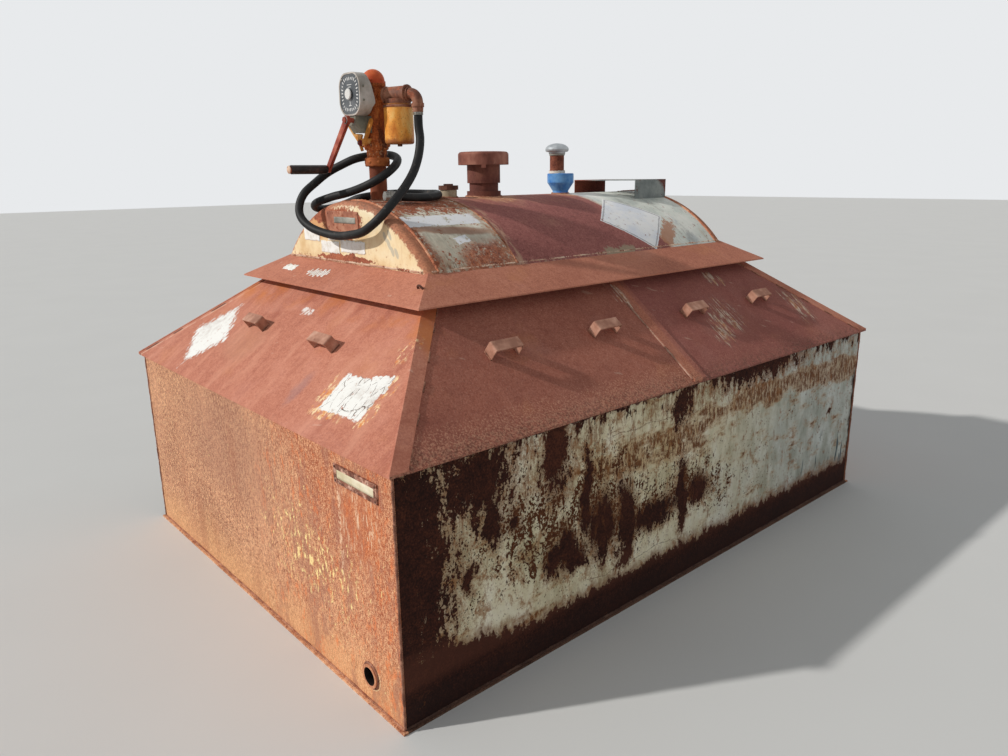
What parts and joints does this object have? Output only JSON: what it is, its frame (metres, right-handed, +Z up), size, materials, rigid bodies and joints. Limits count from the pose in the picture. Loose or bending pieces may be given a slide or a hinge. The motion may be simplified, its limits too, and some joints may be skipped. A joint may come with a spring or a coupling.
{
  "type": "horizontal fuel storage tank in a steel dike",
  "caption": "Horizontal cylindrical steel tank in a rectangular containment dike with sloping rain covers, a hand-crank pump with a dial meter and hose, and vents on top.",
  "frame": {"origin": "on the ground under the middle of the dike", "axes": "+Z up, +Y along the tank from the pump end to the rear, +X to the right seen from the pump end"},
  "size_m": [1.865, 2.546, 1.782],
  "materials": {
    "floor_steel": "rusted plate",
    "orange_rust_wall": "orange-brown rust over old paint",
    "pale_wall": "pale flaking paint with rust",
    "cover_rust": "matte red-brown primer and rust",
    "tank_paint": "red-brown and cream worn paint",
    "head_paint": "cream paint with rust",
    "pipe_rust": "rusted pipe",
    "pump_orange": "faded orange paint with rust",
    "pump_rust": "rusted casting",
    "meter_grey": "grey paint",
    "dial_dark": "dark grey dial with white marks",
    "case_grey": "grey-olive casting",
    "hook_yellow": "worn yellow-orange paint",
    "crank_red": "worn red paint",
    "grip_black": "matte black",
    "canister_yellow": "yellow-orange paint with rust specks",
    "bright_fitting": "dull",
    "hose_rubber": "matte black",
    "vent_rust": "rust-brown",
    "reducer_blue": "blue paint",
    "cap_grey": "dull grey",
    "dark_rust": "dark rust",
    "guard_grey": "pale grey paint, rusty inside"
  },
  "bodies": {
    "plant": {"floor_plate": "floor_steel", "front_wall": "orange_rust_wall", "back_wall": "orange_rust_wall", "left_wall": "pale_wall", "right_wall": "pale_wall", "drain_coupling": "dark_rust", "plate_holder": "orange_rust_wall", "cover_front": "cover_rust", "cover_back": "cover_rust", "cover_right_front": "cover_rust", "cover_right_rear": "cover_rust", "cover_left_front": "cover_rust", "cover_left_rear": "cover_rust", "seam_strips": "cover_rust", "end_handles": "cover_rust", "side_handles": "cover_rust", "flashing_front": "cover_rust", "flashing_back": "cover_rust", "flashing_left": "cover_rust", "flashing_right": "cover_rust", "shell_front": "tank_paint", "shell_rear": "tank_paint", "head_front": "head_paint", "head_back": "head_paint", "saddles": "floor_steel", "pump_riser": "pipe_rust", "pump_union": "pump_orange", "pump_column": "pump_rust", "pump_cap": "pump_orange", "meter_housing": "meter_grey", "meter_dial": "dial_dark", "gear_case": "case_grey", "nozzle_hook": "hook_yellow", "filter_head": "pump_rust", "filter_canister": "canister_yellow", "outlet_elbow": "pipe_rust", "hose_coupling": "bright_fitting", "hose": "hose_rubber", "hose_end": "bright_fitting", "vent_riser": "vent_rust", "reducer": "reducer_blue", "breather_pipe": "pipe_rust", "breather_cap": "cap_grey", "fill_neck": "vent_rust", "fill_cap": "dark_rust", "top_guard": "guard_grey"},
    "crank": {"crank_arm": "crank_red", "crank_grip": "grip_black"},
    "lid": {"vent_lid": "vent_rust"}
  },
  "joints": [
    {"name": "crank_turn", "type": "hinge", "parent": "plant", "child": "crank", "pos_m": [0.008, -0.75, 1.612], "axis": [0, -1, 0], "continuous": true},
    {"name": "lid_lift", "type": "slide", "parent": "plant", "child": "lid", "axis": [0, 0, 1], "range_m": [0, 0.04]}
  ]
}
